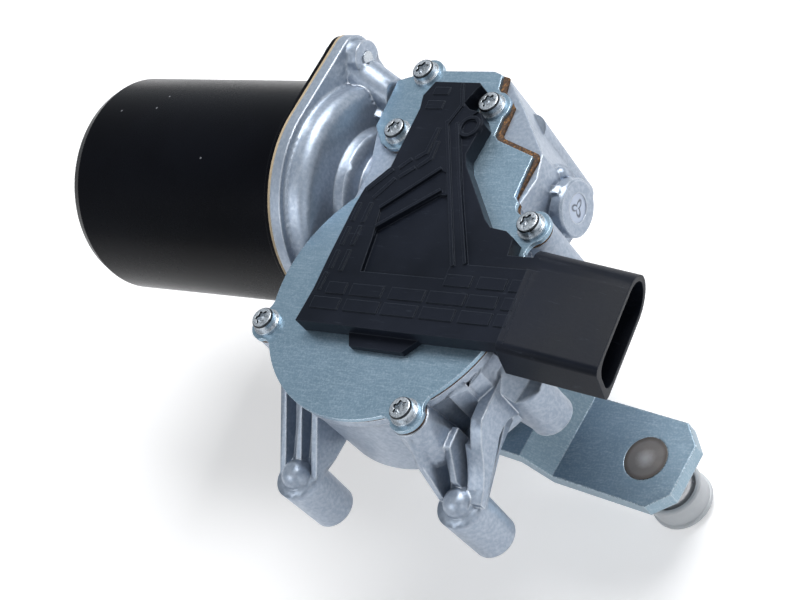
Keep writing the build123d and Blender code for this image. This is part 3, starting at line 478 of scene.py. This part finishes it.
# what counts as touching and as one corner, in metres, and as level, as the height of a face's normal
exact = {"touch": 1e-5, "merge": 1e-6, "level": 0.99}


def bodyOf(node):
    return next(body for body, held in frame["record"]["behaviour"]["bodies"].items() if node in held)


def startFresh():
    bpy.ops.object.select_all(action="DESELECT")


def hold(*pieces):
    # only these pieces are selected, and the first one is active
    startFresh()
    for piece in pieces:
        piece.select_set(True)
    bpy.context.view_layer.objects.active = pieces[0]


def pick(piece, test, kind="FACE"):
    # leaves the piece in edit mode with the wanted faces or corners selected
    if bpy.context.object.mode == "EDIT":
        bpy.ops.object.mode_set(mode="OBJECT")
    bpy.ops.object.mode_set(mode="EDIT")
    bpy.ops.mesh.select_mode(type=kind)
    bpy.ops.mesh.select_all(action="DESELECT")
    bpy.ops.object.mode_set(mode="OBJECT")
    for item in (piece.data.polygons if kind == "FACE" else piece.data.vertices):
        item.select = test(item)
    bpy.ops.object.mode_set(mode="EDIT")


def facesUp(face):
    return face.normal.z > exact["level"]


def extrude(x, y, z):
    bpy.ops.mesh.extrude_region_move(TRANSFORM_OT_translate={"value": (x, y, z)})


def settle(piece, name, finish, softAngle=35):
    # smooth shading, one material, and the object itself back at the origin
    if bpy.context.object.mode == "EDIT":
        bpy.ops.object.mode_set(mode="OBJECT")
    hold(piece)
    bpy.ops.object.transform_apply(location=True, rotation=True, scale=True)
    bpy.ops.object.shade_smooth_by_angle(angle=math.radians(softAngle))
    flat = piece.modifiers.new("flat", "WEIGHTED_NORMAL")
    flat.keep_sharp = True
    bpy.ops.object.modifier_apply(modifier=flat.name)
    piece.name = piece.data.name = name
    piece.data.materials.clear()
    piece.data.materials.append(finish.material)


def drum(radius, low, high, centre=(0, 0), sides=48):
    # a round tool or blank that stands along Z
    startFresh()
    bpy.ops.mesh.primitive_cylinder_add(vertices=sides, radius=radius, depth=high - low,
                                        location=(*centre, (low + high) / 2))
    return bpy.context.object


def prism(points, low, high, along="Z"):
    # a flat outline raised into a block, along Z or, for an upright wall, along X
    startFresh()
    bpy.ops.mesh.primitive_circle_add(vertices=len(points), fill_type="NGON")
    block = bpy.context.object
    for corner, (a, b) in zip(block.data.vertices, points):
        corner.co = (a, b, low) if along == "Z" else (low, a, b)
    bpy.ops.object.mode_set(mode="EDIT")
    bpy.ops.mesh.select_all(action="SELECT")
    extrude(*((0, 0, high - low) if along == "Z" else (high - low, 0, 0)))
    bpy.ops.mesh.select_all(action="SELECT")
    bpy.ops.mesh.normals_make_consistent(inside=False)
    bpy.ops.object.mode_set(mode="OBJECT")
    return block


def carve(piece, tool, operation):
    hold(piece)
    change = piece.modifiers.new("carve", "BOOLEAN")
    change.operation, change.object, change.solver = operation, tool, "EXACT"
    bpy.ops.object.modifier_apply(modifier=change.name)
    bpy.data.objects.remove(tool, do_unlink=True)


def mergedCopy(node):
    # a new object with the node's own shape, its loose triangles joined
    piece = bpy.data.objects.new("copy", nodes[node].data.copy())
    bpy.context.scene.collection.objects.link(piece)
    hold(piece)
    bpy.ops.object.mode_set(mode="EDIT")
    bpy.ops.mesh.select_all(action="SELECT")
    bpy.ops.mesh.remove_doubles(threshold=exact["merge"])
    bpy.ops.object.mode_set(mode="OBJECT")
    return piece


coverScrew = {"spots": ((-0.0349, -0.0131), (0.0200, -0.0327), (0.0334, 0.0207), (0.0059, 0.0558),
                        (-0.0205, 0.0660), (-0.0209, 0.0468)),
              "turns": (10, 48, 25, 5, 33, 52), "sides": 48, "seat": 0.0020, "collarR": 0.0038,
              "collarT": 0.0008, "headR": 0.0031, "headT": 0.0023, "rim": 0.0006, "rimSteps": 4,
              "shankR": 0.0018, "shank": 0.0118, "lobes": 6, "lobeR": 0.0020, "lobeWaist": 0.74,
              "lobeSlope": 0.88, "recess": 0.0013, "waistSteps": (3, 4, 5), "shoulderSteps": (2, 6)}


def makeCoverScrews(look):
    touch = exact["touch"]
    screw = drum(look["collarR"], look["seat"], look["seat"] + look["collarT"], sides=look["sides"])
    bpy.ops.object.transform_apply(location=True)
    pick(screw, lambda face: face.normal.z < -exact["level"])
    bpy.ops.mesh.inset(thickness=look["collarR"] - look["shankR"])
    extrude(0, 0, -look["shank"])
    pick(screw, facesUp)
    bpy.ops.mesh.inset(thickness=look["collarR"] - look["headR"])
    extrude(0, 0, look["headT"])
    bpy.ops.mesh.region_to_loop()
    bpy.ops.mesh.bevel(offset=look["rim"], segments=look["rimSteps"], affect="EDGES")
    top = look["seat"] + look["collarT"] + look["headT"]
    pick(screw, lambda face: facesUp(face) and face.center.z > top - touch)
    bpy.ops.mesh.inset(thickness=look["headR"] - look["rim"] - look["lobeR"])

    # the round inset is drawn in between the lobes
    step = look["sides"] // look["lobes"]

    def onRecess(corner, steps):
        place = round(math.degrees(math.atan2(corner.co.y, corner.co.x)) * look["sides"] / 360)
        inside = corner.co.z > top - touch and corner.co.xy.length < look["lobeR"] + touch
        return inside and place % step in steps

    halfWaist = (1 + look["lobeWaist"]) / 2
    for steps, waist in ((look["waistSteps"], look["lobeWaist"]), (look["shoulderSteps"], halfWaist)):
        pick(screw, lambda corner: onRecess(corner, steps), "VERT")
        bpy.ops.transform.resize(value=(waist, waist, 1), center_override=(0, 0, top))
    pick(screw, lambda face: facesUp(face) and face.center.xy.length < touch and face.center.z > top - touch)
    extrude(0, 0, -look["recess"])
    bpy.ops.transform.resize(value=(look["lobeSlope"], look["lobeSlope"], 1), center_override=(0, 0, 0))
    bpy.ops.object.mode_set(mode="OBJECT")

    screws = []
    for (x, y), turn in zip(look["spots"], look["turns"]):
        copy = bpy.data.objects.new("screw", screw.data.copy())
        bpy.context.scene.collection.objects.link(copy)
        copy.rotation_euler.z, copy.location = math.radians(turn), (x, y, 0)
        screws.append(copy)
    bpy.data.objects.remove(screw, do_unlink=True)
    hold(*screws)
    bpy.ops.object.transform_apply(location=True, rotation=True, scale=True)
    bpy.ops.object.join()
    group = screws[0]
    settle(group, "coverScrewsDressed", finishes["screwZinc"])
    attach(group, bodyOf("cover_screws"))
    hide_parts("cover_screws")


makeCoverScrews(coverScrew)
print("cover screws made")


# the black cover's relief, as outlines in metres on its upper face
blackCover = {
    "top": 0.0070, "filled": 0.0050, "tab": 0.0038, "over": 0.0010, "edge": 0.00022, "edgeSteps": 2,
    "edgeAngle": 40, "flatAngle": 0.5,
    "fill": ((-0.0198, -0.0120), (-0.0198, -0.0040), (-0.0196, 0.0052), (-0.0190, 0.0206), (-0.0183, 0.0260),
             (-0.0130, 0.0328), (-0.0125, 0.0500), (0.0000, 0.0500), (0.0068, 0.0480), (0.0070, 0.0380),
             (0.0090, 0.0345), (0.0215, 0.0190), (0.0215, -0.0120)),
    "shelf": ((-0.0070, -0.0190), (0.0170, -0.0190), (0.0170, -0.01405), (-0.0070, -0.01385)),
    "upperField": ((-0.0093, 0.0120), (-0.0111, 0.0212), (0.0023, 0.0332), (0.0046, 0.0323), (0.0078, 0.0250),
                   (0.0050, 0.0230)),
    "lowerField": ((-0.0081, 0.0018), (-0.0096, 0.0145), (0.0051, 0.0258), (0.0080, 0.0258), (0.0183, 0.0054),
                   (0.0183, 0.0018)),
    "side": ((0.0019, 0.0472), (0.0103, 0.0304), (0.0229, 0.0062), (0.0600, 0.0062), (0.0600, 0.0440),
             (0.0090, 0.0540)),
    "fieldDepth": 0.0013, "stepDepth": 0.0005, "sideDepth": 0.0006, "ribWide": 0.0009, "ribHigh": 0.0005,
    "ribRoot": 0.0002,
    "ribs": (((-0.0020, 0.0473), (0.0054, 0.0327), (0.0192, 0.0057)),
             ((0.0015, 0.0468), (0.0098, 0.0302), (0.0225, 0.0065)),
             ((-0.0024, 0.0590), (0.0003, 0.0526), (-0.0014, 0.0473)),
             ((-0.0093, 0.0152), (0.0052, 0.0266)),
             ((-0.0107, 0.0208), (0.0024, 0.0330))),
    "tileHigh": 0.00035, "tileRoot": 0.0003, "barWide": 0.0012,
    "rows": ((-0.0020, -0.0053, ((-0.0160, -0.0100), (-0.0082, 0.0017), (0.0042, 0.0148), (0.0161, 0.0271),
                                 (0.0281, 0.0365), (0.0383, 0.0418))),
             (-0.0065, -0.0098, ((-0.0188, -0.0100), (-0.0081, 0.0027), (0.0039, 0.0144), (0.0160, 0.0259),
                                 (0.0276, 0.0368), (0.0381, 0.0418))),
             (0.0030, -0.0002, ((0.0189, 0.0268), (0.0288, 0.0370), (0.0383, 0.0411))),
             (0.0583, 0.0560, ((-0.0108, -0.0058),)), (0.0540, 0.0515, ((-0.0112, -0.0058),))),
    "bars": (((-0.0180, 0.0211), (-0.0180, 0.0168)), ((-0.0180, 0.0137), (-0.0180, 0.0095)),
             ((-0.0180, 0.0066), (-0.0180, 0.0024)), ((-0.0185, 0.0000), (-0.0187, -0.0040)),
             ((-0.0145, 0.0213), (-0.0145, 0.0165)), ((-0.0145, 0.0142), (-0.0145, 0.0097)),
             ((-0.0145, 0.0070), (-0.0145, 0.0019)), ((-0.0175, 0.0260), (-0.0127, 0.0318)),
             ((-0.0142, 0.0238), (-0.0108, 0.0291)), ((-0.0103, 0.0332), (-0.0083, 0.0353)),
             ((-0.0089, 0.0304), (-0.0062, 0.0328)),
             ((-0.0063, 0.0362), (-0.0042, 0.0380), (-0.0039, 0.0449)),
             ((-0.0045, 0.0337), (-0.0020, 0.0362), (-0.0022, 0.0408))),
    "boss": ((0.0054, 0.0464), 0.0032, 0.0023),
}


def bar(points, wide, low, high):
    # a straight-sided strip along a line of points, one block for each stretch
    blocks = []
    for (xa, ya), (xb, yb) in zip(points, points[1:]):
        along = Vector((xb - xa, yb - ya)).normalized() * wide / 2
        across = Vector((-along.y, along.x))
        start, end = Vector((xa, ya)) - along, Vector((xb, yb)) + along
        blocks.append(prism([start - across, end - across, end + across, start + across], low, high))
    return blocks


def ring(centre, outer, inner, low, high):
    boss = drum(outer, low, high, centre)
    pick(boss, facesUp)
    bpy.ops.mesh.inset(thickness=outer - inner)
    extrude(0, 0, (low - high) / 2)
    bpy.ops.object.mode_set(mode="OBJECT")
    bpy.ops.object.transform_apply(location=True)
    return boss


def makeBlackCover(look):
    cover = mergedCopy("plug_cover")
    top = look["top"]
    carve(cover, prism(look["fill"], look["filled"], top), "UNION")
    for field, floor in (("shelf", look["tab"]), ("upperField", top - look["stepDepth"]),
                         ("lowerField", top - look["fieldDepth"]), ("side", top - look["sideDepth"])):
        carve(cover, prism(look[field], floor, top + look["over"]), "DIFFERENCE")

    low = top - look["fieldDepth"] - look["ribRoot"]
    centre, outer, inner = look["boss"]
    ribTop, bossTop = top + look["ribHigh"], top + look["ribHigh"] / 2
    raised = [block for line in look["ribs"] for block in bar(line, look["ribWide"], low, ribTop)]
    raised.append(ring(centre, outer, inner, low, bossTop))
    low, high = top - look["tileRoot"], top + look["tileHigh"]
    for front, back, spans in look["rows"]:
        raised += [prism([(left, back), (right, back), (right, front), (left, front)], low, high)
                   for left, right in spans]
    raised += [block for line in look["bars"] for block in bar(line, look["barWide"], low, high)]
    for block in raised:
        carve(cover, block, "UNION")

    bpy.ops.object.mode_set(mode="EDIT")
    bpy.ops.mesh.select_all(action="SELECT")
    bpy.ops.mesh.dissolve_limited(angle_limit=math.radians(look["flatAngle"]))
    bpy.ops.object.mode_set(mode="OBJECT")
    soft = cover.modifiers.new("soft", "BEVEL")
    soft.width, soft.segments, soft.limit_method = look["edge"], look["edgeSteps"], "ANGLE"
    soft.angle_limit, soft.use_clamp_overlap = math.radians(look["edgeAngle"]), True
    bpy.ops.object.modifier_apply(modifier=soft.name)
    settle(cover, "blackCoverDressed", finishes["blackPlastic"])
    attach(cover, bodyOf("plug_cover"))
    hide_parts("plug_cover")


makeBlackCover(blackCover)
print("black cover made")


# the steel cover and its seal have hollow corners where a screw's tab meets the round edge
coverPlate = {"round": 0.0367, "tab": 0.0046, "corner": 0.0034, "low": -0.001, "high": 0.004, "sides": 64,
              "tabs": 3, "softAngle": 22,
              "nodes": (("gear_cover", "gearCoverDressed", "zincPlate", "zinc_plate", 0.0),
                        ("cover_gasket", "coverSealDressed", "gasketCork", "gasket_cork", 0.0002))}


def cornerCentres(look, spot):
    # centres of the two hollow corners: one radius away from the round edge and from the tab
    reach = Vector(spot)
    far, near, away = look["round"] + look["corner"], look["tab"] + look["corner"], reach.length
    turn = math.acos((away ** 2 + far ** 2 - near ** 2) / (2 * away * far))
    lean = math.atan2(reach.y, reach.x)
    return [(far * math.cos(lean + side * turn), far * math.sin(lean + side * turn)) for side in (1, -1)]


def makeCoverPlate(look):
    for node, name, finish, slot, slack in look["nodes"]:
        plate = mergedCopy(node)
        for spot in coverScrew["spots"][:look["tabs"]]:
            for centre in cornerCentres(look, spot):
                carve(plate, drum(look["corner"] - slack, look["low"], look["high"], centre, look["sides"]),
                      "DIFFERENCE")
        settle(plate, name, finishes[finish], look["softAngle"])
        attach(plate, bodyOf(node))
        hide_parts(node)


makeCoverPlate(coverPlate)
print("steel cover and seal made")


# the right-hand arm as cast: outlines in the YZ plane, in metres, each with its reach in X
rightArm = {
    "chamber": 0.0369, "sink": 0.0015, "tall": 0.06, "sides": 180, "softAngle": 22,
    "cutWall": (0.03005, 0.0340, ((-0.0140, -0.0090), (-0.0268, -0.0088), (-0.0290, -0.0100),
                                  (-0.0319, -0.0125), (-0.0350, -0.0160), (-0.0373, -0.0179),
                                  (-0.0401, -0.0199), (-0.0433, -0.0212), (-0.0500, -0.0212),
                                  (-0.0500, 0.0010), (-0.0140, 0.0010))),
    "cutMiddle": (0.0252, 0.0274, ((-0.0290, -0.0094), (-0.0357, -0.0093), (-0.0405, -0.0140),
                                   (-0.0440, -0.0140), (-0.0440, 0.0000), (-0.0290, 0.0000))),
    "walls": (
        (0.0312, 0.0334, ((-0.0140, -0.0090), (-0.0268, -0.0088), (-0.0290, -0.0100), (-0.0319, -0.0125),
                          (-0.0350, -0.0160), (-0.0373, -0.0179), (-0.0401, -0.0199), (-0.0433, -0.0210),
                          (-0.0433, -0.0231), (-0.0391, -0.0217), (-0.0322, -0.0196), (-0.0292, -0.0181),
                          (-0.0266, -0.0174), (-0.0241, -0.0174), (-0.0212, -0.0183), (-0.0185, -0.0210),
                          (-0.0140, -0.0210))),
        (0.0285, 0.0313, ((-0.0319, -0.01251), (-0.0350, -0.01601), (-0.0373, -0.01791), (-0.0401, -0.01991),
                          (-0.0433, -0.02101), (-0.0433, -0.0229), (-0.0290, -0.0179), (-0.0290, -0.0135))),
        (0.0201, 0.0313, ((-0.0200, -0.0150), (-0.0353, -0.0195), (-0.0403, -0.0226), (-0.0433, -0.0226),
                          (-0.0433, -0.0249), (-0.0283, -0.0188), (-0.0200, -0.0172))),
    ),
}
# a small cast knob closes the wall over the worm bush, beside the thrust boss
bushKnob = {"radius": 0.0019, "out": 0.2, "spot": (0.0446, -0.0104), "segments": 48, "rings": 24}


def outsideChamber(wall, look, sink=0.0):
    # an upright wall that ends at the round chamber, or sunk a little into its wall
    start, end, outline = wall
    block = prism(outline, start, end, "X")
    carve(block, drum(look["chamber"] - sink, -look["tall"], look["tall"], sides=look["sides"]), "DIFFERENCE")
    return block


def makeHousing(look, knob):
    housing = mergedCopy("gear_housing")
    for wall in (look["cutWall"], look["cutMiddle"]):
        carve(housing, outsideChamber(wall, look), "DIFFERENCE")
    startFresh()
    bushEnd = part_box("worm_bush")[1][0]
    place = (bushEnd + knob["out"] * knob["radius"], *knob["spot"])
    bpy.ops.mesh.primitive_uv_sphere_add(segments=knob["segments"], ring_count=knob["rings"],
                                         radius=knob["radius"], location=place)
    carve(housing, bpy.context.object, "UNION")
    for wall in look["walls"]:
        carve(housing, outsideChamber(wall, look, look["sink"]), "UNION")
    settle(housing, "gearHousingDressed", finishes["castAluminium"], look["softAngle"])
    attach(housing, bodyOf("gear_housing"))
    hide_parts("gear_housing")


makeHousing(rightArm, bushKnob)
print("gear housing made")


# floor, surroundings, lamps and camera
studio = {"floorColour": (0.86, 0.86, 0.87), "floorGrain": (400, 2), "grainRange": (0.3, 0.7), "paler": 1.02,
          "floorRough": 0.9, "floorSize": 9.0, "gap": 0.0005, "floorGlow": 0.4, "glow": (1, 1, 1, 1),
          "sky": (0.88, 0.94, 1, 1), "world": 0.14, "horizon": 0.75, "zenith": 0.5, "rise": 0.6}


def makeFloor(look):
    low = min(point[2] for point in cadBox)
    startFresh()
    bpy.ops.mesh.primitive_plane_add(size=look["floorSize"], location=(0, 0, low - look["gap"]))
    floor = bpy.context.object
    floor.name = "studioFloor"
    finish = Finish("floorPaper", Roughness=look["floorRough"])
    cloud = finish.between(finish.grain(*look["floorGrain"]), *look["grainRange"])
    pale = tuple(c * look["paler"] for c in look["floorColour"])
    finish.set(Base_Color=finish.blend(cloud, look["floorColour"], pale))
    seen, mirrored, through = finish.rays()
    seen = seen.most(mirrored).most(through)
    light = look["floorGlow"] * seen
    glow = finish.node("ShaderNodeEmission", {}, {"Color": look["glow"], "Strength": light})
    both = finish.node("ShaderNodeAddShader", {}, {0: Wire(finish.tree, finish.shader.outputs[0]), 1: glow})
    finish.tree.links.new(both.socket, finish.tree.nodes["Material Output"].inputs["Surface"])
    floor.data.materials.append(finish.material)


def makeWorld(look):
    # white behind the object, a bright room in its reflections, and a weak even light on it
    world = bpy.data.worlds.new("studioWorld")
    bpy.context.scene.world = world
    sky = Graph(world)
    back = sky.tree.nodes["Background"]
    back.inputs["Color"].default_value = look["sky"]
    seen, mirrored, through = sky.rays()
    aim = sky.node("ShaderNodeTexCoord", {}, {}, "Generated")
    height = sky.node("ShaderNodeSeparateXYZ", {}, {0: aim}, "Z")
    fall = (height / look["rise"]).most(0).least(1)
    room = look["horizon"] + (look["zenith"] - look["horizon"]) * fall
    seen = seen.most(through)
    level = seen + (1 - seen) * (mirrored * room + (1 - mirrored) * look["world"])
    sky.tree.links.new(level.socket, back.inputs["Strength"])


lights = {
    "keyBox": {"place": (0.15, 0.55, 0.85), "aim": (0, 0, 0), "size": (0.7, 0.5), "power": 11.5},
    "frontBox": {"place": (0.85, -0.55, 0.45), "aim": (0, 0, -0.02), "size": (0.6, 0.6), "power": 1.1},
    "leftBox": {"place": (-0.35, -0.75, 0.70), "aim": (-0.02, 0, -0.02), "size": (0.7, 0.5), "power": 3},
}


def makeLights(boxes):
    for name, box in boxes.items():
        lamp = bpy.data.lights.new(name, "AREA")
        lamp.shape, lamp.size, lamp.size_y, lamp.energy = "RECTANGLE", *box["size"], box["power"]
        holder = bpy.data.objects.new(name, lamp)
        bpy.context.scene.collection.objects.link(holder)
        holder.location = box["place"]
        holder.rotation_euler = (Vector(box["aim"]) - holder.location).to_track_quat("-Z", "Y").to_euler()


camera = {"place": (0.3193, -0.1891, 0.3503), "right": (0.777, 0.380, -0.501), "up": (-0.077, 0.848, 0.524),
          "lens": 92.2, "sensor": 36.0, "clip": (0.01, 20)}


def makeCamera(look):
    eye = bpy.data.cameras.new("photoCamera")
    eye.lens, eye.sensor_width, eye.sensor_fit = look["lens"], look["sensor"], "HORIZONTAL"
    eye.clip_start, eye.clip_end = look["clip"]
    holder = bpy.data.objects.new("photoCamera", eye)
    bpy.context.scene.collection.objects.link(holder)
    right = Vector(look["right"]).normalized()
    back = right.cross(Vector(look["up"])).normalized()
    turn = Matrix((right, back.cross(right), back)).transposed().to_4x4()
    holder.matrix_world = Matrix.Translation(look["place"]) @ turn
    bpy.context.scene.camera = holder


makeFloor(studio)
makeWorld(studio)
makeLights(lights)
makeCamera(camera)
bpy.context.scene.view_settings.view_transform = "Standard"
print("studio made")
